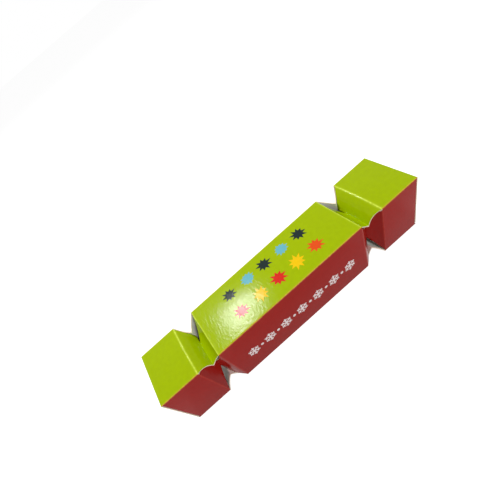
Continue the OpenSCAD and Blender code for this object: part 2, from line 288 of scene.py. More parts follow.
def carton(name, outline, folds, lay, inks, prints=(), bow=flat, step=3.0, thickness=BOARD, room=0.0):
    """A panel of board with a printed face, a raw one and cut edges between them.

    The outline is flat, in u and v. A fold is (axis, where its line lies, which way the panel goes
    from it, half the angle that it turns, outer radius), and the angle is negative in a valley.
    A print is (outline, number of its ink). lay(u, v, z) sets a point in place. The raw face stops
    short of the first fold by the room, where the panel beside it needs that to turn.
    """
    lows = [min(p[axis] for p in outline) for axis in (0, 1)]
    highs = [max(p[axis] for p in outline) for axis in (0, 1)]
    marks = [[], []]
    for axis, line, way, half, radius in folds:
        tangent = radius * math.tan(abs(half))
        rounding = tuple(tangent * i / ROUND_STEPS for i in range(1, ROUND_STEPS + 1))
        marks[axis] += [line + way * away for away in rounding + CREASE_MARKS]
    points = []
    edges = []
    shapes = []
    for shape in [outline] + [p[0] for p in prints]:
        shapes.append(list(range(len(points), len(points) + len(shape))))
        points += [Vector(p) for p in shape]
    for axis in (0, 1):
        other = 1 - axis
        for line in stepped(lows[axis], highs[axis], step, marks[axis]):
            for end in (lows[other] - OVERHANG, highs[other] + OVERHANG):
                points.append(Vector((line, end) if axis == 0 else (end, line)))
            edges.append((len(points) - 2, len(points) - 1))
    points, _, cells, _, _, owners = delaunay_2d_cdt(points, edges, shapes, 1, MERGED)
    ink_of = [0] + [p[1] for p in prints]
    kept = [(cell, ink_of[max(owner)]) for cell, owner in zip(cells, owners) if 0 in owner]

    def outer(u, v):
        place = [u, v]
        out = bow(u, v)
        for axis, line, way, half, radius in folds:
            away, lift = eased(way * ((u, v)[axis] - line), half, radius)
            place[axis] = line + way * away if lift else place[axis]
            out += lift
        return lay(place[0], place[1], out)

    def inner(u, v):
        place = [u, v]
        for fold in folds:
            axis, line, way, half, _ = fold
            away = way * ((u, v)[axis] - line)
            back = thickness * math.tan(half) + (room if fold is folds[0] else 0.0)
            if away < BACK_EASE:
                place[axis] = line + way * (back + away * (1 - back / BACK_EASE))
        return lay(place[0], place[1], bow(u, v) - thickness)

    shell = bmesh.new()
    wear_and_highlight = {0: shell.verts.layers.float.new("crease"), 1: shell.verts.layers.float.new("long_edge")}
    used = sorted({i for cell, _ in kept for i in cell})
    faces_out = {i: shell.verts.new(outer(*points[i])) for i in used}
    faces_in = {i: shell.verts.new(inner(*points[i])) for i in used}
    # How near a point lies to an outward crease: across the cracker this places wear and a painted
    # highlight, along it wear alone.
    for i in used:
        for axis, line, way, half, _ in folds:
            near = 1 - way * (points[i][axis] - line) / WEAR_AND_HIGHLIGHT_WIDTHS[axis]
            faces_out[i][wear_and_highlight[axis]] = max(faces_out[i][wear_and_highlight[axis]], min(1.0, near) if half > 0 else 0.0)
    sides = {}
    for cell, ink in kept:
        shell.faces.new([faces_out[i] for i in cell]).material_index = ink
        shell.faces.new([faces_in[i] for i in reversed(cell)]).material_index = len(inks)
        for start, end in zip(cell, cell[1:] + cell[:1]):
            if (end, start) in sides:
                del sides[end, start]
            else:
                sides[start, end] = True
    for start, end in sides:
        wall = shell.faces.new((faces_out[end], faces_out[start], faces_in[start], faces_in[end]))
        creased = any(max(abs(points[i][axis] - line) for i in (start, end)) < ON_LINE
                      for axis, line, *_ in folds)
        wall.material_index = 0 if creased else len(inks) + 1
    return finished(name, shell, list(inks) + [RAW_BOARD, CUT_EDGE])


def placed(name, data):
    """A new object in the scene."""
    thing = bpy.data.objects.new(name, data)
    bpy.context.scene.collection.objects.link(thing)
    return thing


def finished(name, shell, materials):
    """A piece from its closed shell, with smooth faces and sharp edges."""
    bmesh.ops.recalc_face_normals(shell, faces=shell.faces)
    for face in shell.faces:
        face.smooth = True
    for edge in shell.edges:
        edge.smooth = len(edge.link_faces) == 2 and edge.calc_face_angle(0.0) < SHARP
    mesh = bpy.data.meshes.new(name)
    shell.to_mesh(mesh)
    shell.free()
    for material in materials:
        mesh.materials.append(material)
    return placed(name, mesh)


def fitted(piece, body, slot, *nodes):
    """Sets a piece on its body, in the place of its nodes."""
    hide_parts(*nodes)
    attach(piece, body)


def domed(height, low, high):
    """A bow that is highest in the middle of the panel and nothing along its creases."""
    def bow(u, v):
        share_u = (u - low[0]) / (high[0] - low[0])
        share_v = (v - low[1]) / (high[1] - low[1])
        return height * math.sin(math.pi * share_u) * math.sin(math.pi * share_v)
    return bow


STAR_WAIST = 0.55
BLUE_WAIST = 0.68
UNEVEN = 0.11
UNEVEN_TURN = 2.4


def star(x, y, size, points, lean, wobble, waist=STAR_WAIST):
    """A star with uneven rays."""
    shape = []
    for i in range(2 * points):
        turn = lean + math.pi * i / points
        ray = size * (1 + UNEVEN * math.sin(wobble + UNEVEN_TURN * i)) if i % 2 == 0 else waist * size
        shape.append((x + ray * math.cos(turn), y + ray * math.sin(turn)))
    return shape


def bar(x, y, turn, start, end, width):
    """A straight stroke that runs out from a point."""
    ahead = Vector((math.cos(turn), math.sin(turn)))
    aside = Vector((-ahead.y, ahead.x)) * width / 2
    ends = [Vector((x, y)) + ahead * start, Vector((x, y)) + ahead * end]
    return [tuple(p) for p in (ends[0] - aside, ends[1] - aside, ends[1] + aside, ends[0] + aside)]


DOT_SIDES = 14


def disc(x, y, radius):
    """A round dot."""
    turns = [2 * math.pi * i / DOT_SIDES for i in range(DOT_SIDES)]
    return [(x + radius * math.cos(turn), y + radius * math.sin(turn)) for turn in turns]


ARM_W = 0.85
KNEE = 0.52
TWIG = 0.4
TWIG_W = 0.7
TWIG_LEAN = math.radians(52)


def snowflake(x, y, size):
    """Six arms, each with a pair of side strokes."""
    strokes = []
    for i in range(6):
        turn = math.pi / 6 + math.pi * i / 3
        strokes.append(bar(x, y, turn, 0, size, ARM_W))
        knee = (x + KNEE * size * math.cos(turn), y + KNEE * size * math.sin(turn))
        for way in (-1, 1):
            strokes.append(bar(knee[0], knee[1], turn + way * TWIG_LEAN, 0, TWIG * size, TWIG_W))
    return strokes


# Each row's y, and each star's x, ink and size.
STAR_ROWS = (
    (7.6, ((26.6, STAR_DARK, 4.9), (13.7, STAR_BLUE, 4.4), (0.6, STAR_DARK, 5.0), (-11.5, STAR_BLUE, 4.5),
           (-25.2, STAR_DARK, 4.6))),
    (-6.7, ((27.2, STAR_ORANGE, 5.0), (13.9, STAR_YELLOW, 5.2), (0.8, STAR_RED, 5.1),
            (-11.9, STAR_YELLOW, 5.0), (-25.4, STAR_RED, 4.7))),
)
STAR_RAYS = 9
BLUE_RAYS = 11
STAR_LEAN = 0.1
BLUE_LEAN = 0.13
BLUE_WOBBLE = 0.5
star_inks = [LIME, STAR_DARK, STAR_BLUE, STAR_ORANGE, STAR_YELLOW, STAR_RED]
stars = []
for y, row in STAR_ROWS:
    for x, ink, size in row:
        if ink is STAR_BLUE:
            shape = star(x, y, size, BLUE_RAYS, BLUE_LEAN * x, BLUE_WOBBLE * x, BLUE_WAIST)
        else:
            shape = star(x, y, size, STAR_RAYS, STAR_LEAN * x, x)
        stars.append((shape, star_inks.index(ink)))

FLAKE_PITCH = 12.0
FLAKE_SIZE = 3.9
FLAKE_MID = 0.5
DOT_R = 1.0
PRINT_LINE = -2.0
flake_inks = [RED, WHITE_INK]
white = flake_inks.index(WHITE_INK)
flakes = []
for i in range(-3, 4):
    flakes += [(stroke, white) for stroke in snowflake(FLAKE_MID + i * FLAKE_PITCH, PRINT_LINE, FLAKE_SIZE)]
    if i < 3:
        flakes.append((disc(FLAKE_MID + (i + 0.5) * FLAKE_PITCH, PRINT_LINE, DOT_R), white))

# A fir tree along the panel. A tier is its foot, its tip and half its width.
TRUNK = [(-27, -2), (-21, -2), (-21, 2), (-27, 2)]
TIERS = ((-22, -6, 12.5), (-12, 3, 10.5), (-3, 11, 8.5), (5, 19, 6.2))
TIER_NOTCH = 1.6
BEADS = (-0.62, -0.2, 0.2, 0.62)
BEAD_R = 0.75
BEAD_UP = 2.6
BEAD_ARCH = 1.2
BEAD_INSET = 2.2
TOP_STAR = (22.0, 0, 4.2, 6, 0.0, 1.0)
fir_inks = [BURGUNDY, TREE_GREEN, TREE_DARK, STAR_YELLOW, STAR_ORANGE]
tier_inks = [fir_inks.index(ink) for ink in (TREE_GREEN, TREE_DARK)]
bead_ink = fir_inks.index(STAR_YELLOW)
fir = [(TRUNK, fir_inks.index(STAR_ORANGE))]
for i, (foot, tip, half) in enumerate(TIERS):
    fir.append(([(foot, -half), (tip, 0), (foot, half), (foot + TIER_NOTCH, 0)], tier_inks[i % 2]))
    for lean in BEADS:
        up = BEAD_UP + BEAD_ARCH * (1 - abs(lean))
        fir.append((disc(foot + up, lean * (half - BEAD_INSET), BEAD_R), bead_ink))
fir.append((star(*TOP_STAR), bead_ink))

PRINTS = ((star_inks, stars), (flake_inks, flakes), (fir_inks, fir), (flake_inks, flakes))
BARREL_BOWS = (0.35, 0.3, 0.0, 0.3)
BARREL_STEP = 4.0
for k, side in enumerate(SIDES):
    half = across(k) / 2
    corners = [(-BARREL_X, -half), (BARREL_X, -half), (BARREL_X, half), (-BARREL_X, half)]
    folds = [(0, way * BARREL_X, -way, FOLD / 2, CREASE_R) for way in (-1, 1)]
    folds += [(1, way * half, -way, SQUARE / 2, CORNER_R) for way in (-1, 1)]
    inks, prints = PRINTS[k]
    piece = carton("barrel_%s_board" % side, corners, folds, lambda u, v, z, k=k: on_side(k, u, v, z),
                   inks, prints, domed(BARREL_BOWS[k], corners[0], corners[2]), BARREL_STEP)
    fitted(piece, "barrel", SIDE_SLOTS[k], "barrel_%s" % side)

# Seam flaps
# A strip of bare board along the blank's edge, glued inside the back panel to close the tube.
# The middle box and each end box have their own, with slanted ends so that the necks fold freely.
GLUE_W = 9.0
GLUE_SLANT = 2.5


def seam_flap(name, body, node, bow=flat):
    """The flap of one box, as long as its node."""
    low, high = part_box(node)
    start, end = low.x / MM, high.x / MM
    far = across(BACK) / 2 - BOARD
    near = far - GLUE_W
    shape = [(start, far), (start + GLUE_SLANT, near), (end - GLUE_SLANT, near), (end, far)]
    piece = carton(name, shape, [], lambda u, v, z: on_side(BACK, u, v, z - BOARD), [RAW_BOARD], (), bow)
    fitted(piece, body, "raw_board", node)


seam_flap("barrel_seam_flap", "barrel", "barrel_glue_flap",
          domed(BARREL_BOWS[BACK], (-BARREL_X, -TUBE_H / 2), (BARREL_X, TUBE_H / 2)))

# Necks
# Each side of a neck is pinched into a valley: one slope falls from the middle box, and one like it
# from the end box, of the same board. Curved cuts narrow them. At most corners one panel's edge lies
# over the next one's, and two stand open.
END_X = BARREL_X + 2 * VALLEY_RUN
SLOPE = math.hypot(VALLEY_RUN, VALLEY_DEPTH)
SLOPE_STEP = 1.5
EDGE_STEPS = 14
CUT_R = 16.0
# What the cuts take off a panel's half width, at the crease and at the valley, for its two edges.
OVER_CUT = 3.3
BACK_OVER_CUT = 4.0
OPEN_CUT = 16.0
UNDER_START = 1.3
UNDER_PLAY = 0.3
UNDER_CUT = VALLEY_DEPTH + BOARD / math.cos(FOLD) + UNDER_PLAY
CUT_STARTS = ((0, UNDER_START), (UNDER_START, UNDER_START), (UNDER_START, 0), (0, 0))
CUT_ENDS = ((OVER_CUT, UNDER_CUT), (UNDER_CUT, UNDER_CUT), (UNDER_CUT, OVER_CUT), (BACK_OVER_CUT, OVER_CUT))
# How far each side's slopes bow out, and how high the crease of an end box's upper panel is crowned.
INNER_BOWS = (-0.7, 1.0, 0.0, 1.0)
OUTER_BOWS = (0.9, -0.3, 0.0, -0.3)
END_CROWN = 0.7


def curved_edge(root, tip):
    """Points of a curved cut from the crease to the valley, on the positive side of the panel."""
    chord = math.hypot(SLOPE, root - tip)
    lift = math.sqrt(CUT_R ** 2 - (chord / 2) ** 2)
    centre_u = SLOPE / 2 + (root - tip) / chord * lift
    centre_v = (root + tip) / 2 + SLOPE / chord * lift
    start = math.atan2(root - centre_v, -centre_u)
    end = math.atan2(tip - centre_v, SLOPE - centre_u)
    turns = [start + (end - start) * i / EDGE_STEPS for i in range(EDGE_STEPS + 1)]
    return [(centre_u + CUT_R * math.cos(turn), centre_v + CUT_R * math.sin(turn)) for turn in turns]


def straight_edge(root, tip, spread):
    """The same for a straight cut, spread a little where the board beside it is bowed."""
    return [(SLOPE * i / EDGE_STEPS,
             root + (tip - root) * i / EDGE_STEPS + spread * math.sin(math.pi * i / EDGE_STEPS))
            for i in range(EDGE_STEPS + 1)]


def slope(k, way, name, crease_x, going):
    """One slope of a neck panel, from its crease down to the valley."""
    half = across(k) / 2
    bows = INNER_BOWS if going == 1 else OUTER_BOWS
    crown = END_CROWN if (k, going) == (TOP, -1) else 0
    cuts = list(CUT_ENDS[k])
    if (k, going) == (FRONT, -1):
        cuts[0] = OPEN_CUT
    if (k, going) == (TOP, 1):
        cuts[1] = OPEN_CUT
    edges = []
    for start, cut, turn in zip(CUT_STARTS[k], cuts, (1, -1)):
        beside = bows[(k + turn) % 4]
        if cut < UNDER_CUT:
            edges.append(curved_edge(half - start, half - cut))
        elif cut == UNDER_CUT:
            spread = beside / math.cos(FOLD) - bows[k] * math.sin(FOLD) * math.tan(FOLD)
            edges.append(straight_edge(half - start, half - cut, spread))
        else:
            edges.append(straight_edge(half - start, half - cut, 0))
    outline = [(u, -v) for u, v in edges[0]] + list(reversed(edges[1]))

    def lay(u, v, z):
        x = crease_x + going * (u * math.cos(FOLD) + z * math.sin(FOLD))
        rise = crown * (1 - u / SLOPE) * math.cos(math.pi * v / across(k))
        return on_side(k, way * x, v, z * math.cos(FOLD) - u * math.sin(FOLD) + rise)

    folds = [(0, 0, 1, FOLD / 2, CREASE_R), (0, SLOPE, -1, -FOLD, VALLEY_R)]
    piece = carton("%s_board" % name, outline, folds, lay, [SIDE_INKS[k]], (),
                   lambda u, v: bows[k] * math.sin(math.pi * min(1, max(0, u / SLOPE))), SLOPE_STEP)
    fitted(piece, name, SIDE_SLOTS[k], name)


for end, way in ENDS:
    for k, side in enumerate(SIDES):
        slope(k, way, "neck_%s_%s_inner" % (end, side), BARREL_X, 1)
        slope(k, way, "neck_%s_%s_outer" % (end, side), END_X, -1)

# End boxes
# The same four panels again beyond each neck. The side walls stop short of the end, behind the lid,
# and the lower panel ends in a bare cut edge.
OUTER_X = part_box("end_right_bottom")[1].x / MM
LID_GAP = 0.15
WALL_X = OUTER_X - BOARD - LID_GAP
END_BOWS = (0.18, 0.15, 0.0, 0.15)
# The upper panel's raw face stands back from its crowned crease, so that the slope there has room to turn.
CROWN_ROOM = 1.3
for end, way in ENDS:
    for k, side in enumerate(SIDES):
        half = across(k) / 2
        far = OUTER_X if k in (TOP, BOTTOM) else WALL_X
        corners = [(END_X, -half), (far, -half), (far, half), (END_X, half)]
        folds = [(0, END_X, 1, FOLD / 2, CREASE_R)]
        if k != BOTTOM:
            folds.append((0, far, -1, SQUARE / 2, CORNER_R))
        folds += [(1, side_way * half, -side_way, SQUARE / 2, CORNER_R) for side_way in (-1, 1)]
        crown = END_CROWN if k == TOP else 0

        def lay(u, v, z, k=k, way=way, far=far, crown=crown):
            rise = crown * (far - u) / (far - END_X) * math.cos(math.pi * v / across(k))
            return on_side(k, way * u, v, z + rise)

        piece = carton("end_%s_%s_board" % (end, side), corners, folds, lay, [SIDE_INKS[k]], (),
                       domed(END_BOWS[k], corners[0], corners[2]), room=CROWN_ROOM if crown else 0.0)
        fitted(piece, "end_%s" % end, SIDE_SLOTS[k], "end_%s_%s" % (end, side))
    seam_flap("end_%s_seam_flap" % end, "end_%s" % end, "end_%s_glue_flap" % end)

# Lids
# Each lid is creased to the upper panel and closes the box; its tongue tucks in over the lower panel.
# Two dust flaps, creased to the side walls, fold in behind it. Nothing is glued here.
LID_H = (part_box("lid_right")[1].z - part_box("lid_right")[0].z) / MM + SLIT
LID_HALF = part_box("lid_right")[1].y / MM
LID_BOW = 0.8
TUCK_TILT = math.radians(10)
TUCK_LEN = 8.0
TUCK_R = 4.0
TUCK_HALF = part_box("tuck_right")[1].y / MM
DUST_W = 14.0
DUST_TAPER = math.radians(26)
DUST_LOW_TAPER = math.radians(8)
DUST_LOW_GAP = 3.6
DUST_HIGH_GAP = 0.6
DUST_LOW = -TUBE_H / 2 + BOARD + DUST_LOW_GAP
DUST_HIGH = TUBE_H / 2 - BOARD - DUST_HIGH_GAP


def quarter_round(u, v, radius, start, steps=7):
    """Points of a round corner about a point, a quarter turn on from start."""
    turns = [start + SQUARE * i / steps for i in range(steps + 1)]
    return [(u + radius * math.cos(turn), v + radius * math.sin(turn)) for turn in turns]


for end, way in ENDS:
    shape = [(0, -LID_HALF), (LID_H, -LID_HALF), (LID_H, LID_HALF), (0, LID_HALF)]
    folds = [(0, 0, 1, SQUARE / 2, CORNER_R), (0, LID_H, -1, (SQUARE + TUCK_TILT) / 2, CORNER_R)]
    piece = carton("lid_%s_board" % end, shape, folds,
                   lambda u, v, z, way=way: on_side(TOP, way * (OUTER_X + z), v, -u), [LIME], (),
                   domed(LID_BOW, shape[0], shape[2]))
    fitted(piece, "lid_%s" % end, "lime_print", "lid_%s" % end)

    square_len = TUCK_LEN - TUCK_R
    shape = [(0, -TUCK_HALF)] + quarter_round(square_len, TUCK_R - TUCK_HALF, TUCK_R, -SQUARE)
    shape += quarter_round(square_len, TUCK_HALF - TUCK_R, TUCK_R, 0) + [(0, TUCK_HALF)]

    def tongue(u, v, z, way=way):
        along = u * math.cos(TUCK_TILT) + z * math.sin(TUCK_TILT)
        rise = u * math.sin(TUCK_TILT) - z * math.cos(TUCK_TILT)
        return on_side(TOP, way * (OUTER_X - along), v, rise - LID_H)

    folds = [(0, 0, 1, (SQUARE + TUCK_TILT) / 2, CORNER_R)]
    piece = carton("tuck_%s_board" % end, shape, folds, tongue, [LIME])
    fitted(piece, "tuck_%s" % end, "lime_print", "tuck_%s" % end)

    for k in (FRONT, BACK):
        turned = -1 if k == BACK else 1
        shape = [(0, turned * DUST_LOW), (DUST_W, turned * (DUST_LOW + DUST_W * math.tan(DUST_LOW_TAPER))),
                 (DUST_W, turned * (DUST_HIGH - DUST_W * math.tan(DUST_TAPER))), (0, turned * DUST_HIGH)]
        node = "dust_%s_%s" % (end, SIDES[k])
        piece = carton("%s_board" % node, shape, [(0, 0, 1, SQUARE / 2, CORNER_R)],
                       lambda u, v, z, k=k, way=way: on_side(k, way * (WALL_X + z), v, -u), [RED])
        fitted(piece, node, "red_print", node)

# Snap
# Two strips of stiff card lie face to face with dabs of friction compound between their ends.
# A paper sleeve is wrapped round the overlap, and each strip's foot is glued under an end box's upper panel.
SNAP_T = 0.8
SNAP_BEND_R = 5.0
SNAP_CLIMB = 7.0
SNAP_FOOT = 9.0
SNAP_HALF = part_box("snap_strip_right")[1].y / MM
SNAP_FOOT_Z = TUBE_H - BOARD - SNAP_T
DAB_BACK = 9.5
DAB_PITCH = 1.6
DAB_COUNT = 5
DAB_R = 0.7
DAB_WIDE = 3.4
DAB_FLAT = 0.1
DAB_LEAST = 0.7
DAB_SEED = 3
SNAP_BLOTCHES = (220, 0.93, 1.05, 4.0)
SNAP_FIBRES = (1300, -0.3, 0.55, 3.0)
SNAP_FIBRE_SHAPE = (0.12, 1.0, 1.0)
SNAP_BUMPS = (1100, 0.0, 1.0, 3.0)
SNAP_DEPTH = 0.00004
SNAP_ROUGHNESS = 0.8
sleeve_low, sleeve_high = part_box("snap_sleeve")


def card_finish(name, tint, dark):
    """Dull card with long fibres, and, in a darker tint, dried compound."""
    finish = Finish(name)
    soft = finish.shade(colour(tint), finish.grain(*SNAP_BLOTCHES))
    fibres = finish.grain(*SNAP_FIBRES, finish.stretched(*SNAP_FIBRE_SHAPE))
    finish.wire(finish.mix(fibres, soft, colour(dark)), finish.surface.inputs["Base Color"])
    finish.surface.inputs["Roughness"].default_value = SNAP_ROUGHNESS
    finish.relief(finish.grain(*SNAP_BUMPS), SNAP_DEPTH)
    return finish.material


SNAP_CARD = card_finish("snap_card", (196, 178, 150), (150, 130, 104))
COMPOUND = card_finish("snap_compound", (96, 70, 58), (60, 42, 36))
SLEEVE_PAPER = fibrous("sleeve_paper", (236, 232, 220), (200, 196, 182), 0.3, 0.75)


def rounded(corners, radius, steps=6):
    """A path through corners in x and z, with its bends rounded."""
    path = [Vector(corners[0])]
    for before, bend, after in zip(corners, corners[1:], corners[2:]):
        back = (Vector(before) - Vector(bend)).normalized()
        ahead = (Vector(after) - Vector(bend)).normalized()
        half = (math.pi - back.angle(ahead)) / 2
        start = Vector(bend) + back * radius * math.tan(half)
        end = Vector(bend) + ahead * radius * math.tan(half)
        for i in range(steps + 1):
            share = i / steps
            path.append(start * (1 - share) ** 2 + Vector(bend) * 2 * share * (1 - share) + end * share ** 2)
    return path + [Vector(corners[-1])]


def bridge(shell, ring, after):
    """Faces between a ring of corners and the next one."""
    for i in range(len(ring)):
        j = (i + 1) % len(ring)
        shell.faces.new((ring[i], ring[j], after[j], after[i]))


def ribbon(name, path, half, thickness, materials, lift=None):
    """A strip that follows a path in x and z; its underside is on the path."""
    shell = bmesh.new()
    rings = []
    cuts = [-1, -0.5, 0, 0.5, 1]
    for i, point in enumerate(path):
        ahead = (path[min(i + 1, len(path) - 1)] - path[max(i - 1, 0)]).normalized()
        up = Vector((-ahead.y, ahead.x)) * thickness
        ring = []
        for cut, out in [(c, Vector((0, 0))) for c in cuts] + [(c, up) for c in reversed(cuts)]:
            rise = lift(point.x, cut * half) if lift else 0
            place = (point.x + out.x, cut * half, point.y + out.y + rise)
            ring.append(shell.verts.new([length * MM for length in place]))
        rings.append(ring)
    for ring, after in zip(rings, rings[1:]):
        bridge(shell, ring, after)
    for ring in (rings[0], rings[-1]):
        for i in range(len(cuts) - 1):
            shell.faces.new((ring[i], ring[i + 1], ring[-2 - i], ring[-1 - i]))
    return finished(name, shell, materials)


def joined(name, pieces):
    """Several pieces made one."""
    with bpy.context.temp_override(active_object=pieces[0], selected_editable_objects=pieces):
        bpy.ops.object.join()
    pieces[0].name = name
    return pieces[0]


def node_tree(name, **kinds):
    """A Geometry Nodes tree with these inputs, and the sockets that give them."""
    tree = bpy.data.node_groups.new(name, "GeometryNodeTree")
    for label, kind in kinds.items():
        tree.interface.new_socket(label, in_out="INPUT", socket_type="NodeSocket" + kind)
    tree.interface.new_socket("Geometry", in_out="OUTPUT", socket_type="NodeSocketGeometry")
    return tree, tree.nodes.new("NodeGroupInput").outputs


def copied(tree, points, copy, way, value, material):
    """Ends a tree: a copy on each point, turned or scaled by the value, all of one material."""
    copies = tree.nodes.new("GeometryNodeInstanceOnPoints")
    tree.links.new(points, copies.inputs["Points"])
    tree.links.new(copy, copies.inputs["Instance"])
    tree.links.new(value, copies.inputs[way])
    real = tree.nodes.new("GeometryNodeRealizeInstances")
    tree.links.new(copies.outputs["Instances"], real.inputs["Geometry"])
    paint = tree.nodes.new("GeometryNodeSetMaterial")
    paint.inputs["Material"].default_value = material
    tree.links.new(real.outputs["Geometry"], paint.inputs["Geometry"])
    tree.links.new(paint.outputs["Geometry"], tree.nodes.new("NodeGroupOutput").inputs["Geometry"])


# The Random Value node's sockets for plain numbers, which share their names with its other sockets.
LEAST = 2
MOST = 3
DRAWN = 1


def row_of_dabs():
    """Dabs of compound in a row, made with Geometry Nodes."""
    tree, given = node_tree("snap_compound_dabs", Start="Vector", Step="Vector", Count="Int", Size="Float",
                            Spread="Float", Height="Float")
    line = tree.nodes.new("GeometryNodeMeshLine")
    tree.links.new(given["Start"], line.inputs["Start Location"])
    tree.links.new(given["Step"], line.inputs["Offset"])
    tree.links.new(given["Count"], line.inputs["Count"])
    dab = tree.nodes.new("GeometryNodeMeshIcoSphere")
    dab.inputs["Subdivisions"].default_value = 2
    tree.links.new(given["Size"], dab.inputs["Radius"])
    scatter = tree.nodes.new("FunctionNodeRandomValue")
    scatter.data_type = "FLOAT"
    scatter.inputs[LEAST].default_value = DAB_LEAST
    scatter.inputs[MOST].default_value = 1.0
    scatter.inputs["Seed"].default_value = DAB_SEED
    shape = tree.nodes.new("ShaderNodeCombineXYZ")
    tree.links.new(scatter.outputs[DRAWN], shape.inputs["X"])
    tree.links.new(given["Spread"], shape.inputs["Y"])
    tree.links.new(given["Height"], shape.inputs["Z"])
    copied(tree, line.outputs["Mesh"], dab.outputs["Mesh"], "Scale", shape.outputs["Vector"], COMPOUND)
    return tree


def grown(name, tree, sizes):
    """The plain mesh that a node tree makes with these sizes."""
    seed = placed(name + "_seed", bpy.data.meshes.new(name + "_seed"))
    modifier = seed.modifiers.new(name, "NODES")
    modifier.node_group = tree
    for item in tree.interface.items_tree:
        if item.item_type == "SOCKET" and item.in_out == "INPUT":
            modifier[item.identifier] = sizes[item.name]
    bpy.context.view_layer.update()
    seen = bpy.context.evaluated_depsgraph_get()
    mesh = bpy.data.meshes.new_from_object(seed.evaluated_get(seen))
    seed.modifiers.clear()
    bpy.data.objects.remove(seed)
    mesh.name = name
    for face in mesh.polygons:
        face.use_smooth = True
    return placed(name, mesh)


for end, way in ENDS:
    low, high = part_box("snap_strip_%s" % end)
    level = low.z / MM
    start = (low.x if way == 1 else high.x) / MM
    foot = way * (high.x if way == 1 else -low.x) / MM
    foot_start = foot - way * SNAP_FOOT
    bend = foot_start - way * SNAP_CLIMB
    corners = [(start, level), (bend, level), (foot_start, SNAP_FOOT_Z), (foot, SNAP_FOOT_Z)]
    path = rounded(corners, SNAP_BEND_R)
    if way == -1:
        path.reverse()
    piece = ribbon("snap_strip_%s_card" % end, path, SNAP_HALF, SNAP_T, [SNAP_CARD])
    fitted(piece, "end_%s" % end, "snap_card", "snap_strip_%s" % end)
    if way == -1:
        first_dab = Vector((start - DAB_BACK, 0, level + SNAP_T)) * MM
        dabs = grown("snap_compound_dabs", row_of_dabs(), {
            "Start": first_dab, "Step": Vector((DAB_PITCH * MM, 0, 0)), "Count": DAB_COUNT,
            "Size": DAB_R * MM, "Spread": DAB_WIDE, "Height": DAB_FLAT})
        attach(dabs, "end_left")


def ring_shape(half_w, low, high, radius, steps=4):
    """A flattened ring in y and z, with round corners."""
    points = []
    centres = ((half_w, high), (-half_w, high), (-half_w, low), (half_w, low))
    for i, (y, z) in enumerate(centres):
        y -= math.copysign(radius, y)
        z += -radius if z == high else radius
        points += quarter_round(y, z, radius, i * SQUARE, steps)
    return points


SLEEVE_T = 0.25
SLEEVE_R = 0.5
half_w = sleeve_high.y / MM
wall_rings = []
shell = bmesh.new()
for x in (sleeve_low.x, sleeve_high.x):
    for inset in (0, SLEEVE_T):
        shape = ring_shape(half_w - inset, sleeve_low.z / MM + inset, sleeve_high.z / MM - inset,
                           SLEEVE_R - inset)
        wall_rings.append([shell.verts.new((x, y * MM, z * MM)) for y, z in shape])
for first, second in ((0, 2), (1, 3), (0, 1), (2, 3)):
    bridge(shell, wall_rings[first], wall_rings[second])
sleeve = finished("snap_sleeve_paper", shell, [SLEEVE_PAPER])
fitted(sleeve, "end_left", "sleeve_paper", "snap_sleeve")

# Crown
# A strip of thin tissue paper, glued into a loop with a row of points and folded back and forth flat.
# It lies loose on the lower panel in the middle box.
CROWN_POINTS = 3
CROWN_POINT = 7.0
CROWN_LAYERS = 6
CROWN_PITCH = 0.9
CROWN_T = 0.3
LAYER_STEPS = 24
BEND_STEPS = 6
STRIP_STEPS = 12
TISSUE_T = 0.16
TISSUE_WAVE = 0.06
WAVE_ALONG = 1.3
WAVE_ACROSS = 0.8
TISSUE_GOLD = (238, 190, 52)
WRINKLES = (520, 0.9, 1.08, 4.0)
WRINKLE_SHAPE = (1.0, 0.25, 1.0)
CREPE = (600, 0.0, 1.0, 4.0)
CREPE_SHAPE = (1.0, 0.2, 1.0)
CREPE_DEPTH = 0.0001
TISSUE_ROUGHNESS = 0.6
TISSUE_SHEEN = 0.15
crown_low, crown_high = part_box("paper_crown")


def tissue_finish():
    """Crepe-like tissue: fine wrinkles along the strip, and a faint sheen."""
    finish = Finish("gold_tissue")
    wrinkles = finish.grain(*WRINKLES, finish.stretched(*WRINKLE_SHAPE))
    finish.wire(finish.shade(colour(TISSUE_GOLD), wrinkles), finish.surface.inputs["Base Color"])
    finish.surface.inputs["Roughness"].default_value = TISSUE_ROUGHNESS
    finish.surface.inputs["Sheen Weight"].default_value = TISSUE_SHEEN
    finish.relief(finish.grain(*CREPE, finish.stretched(*CREPE_SHAPE)), CREPE_DEPTH)
    return finish.material


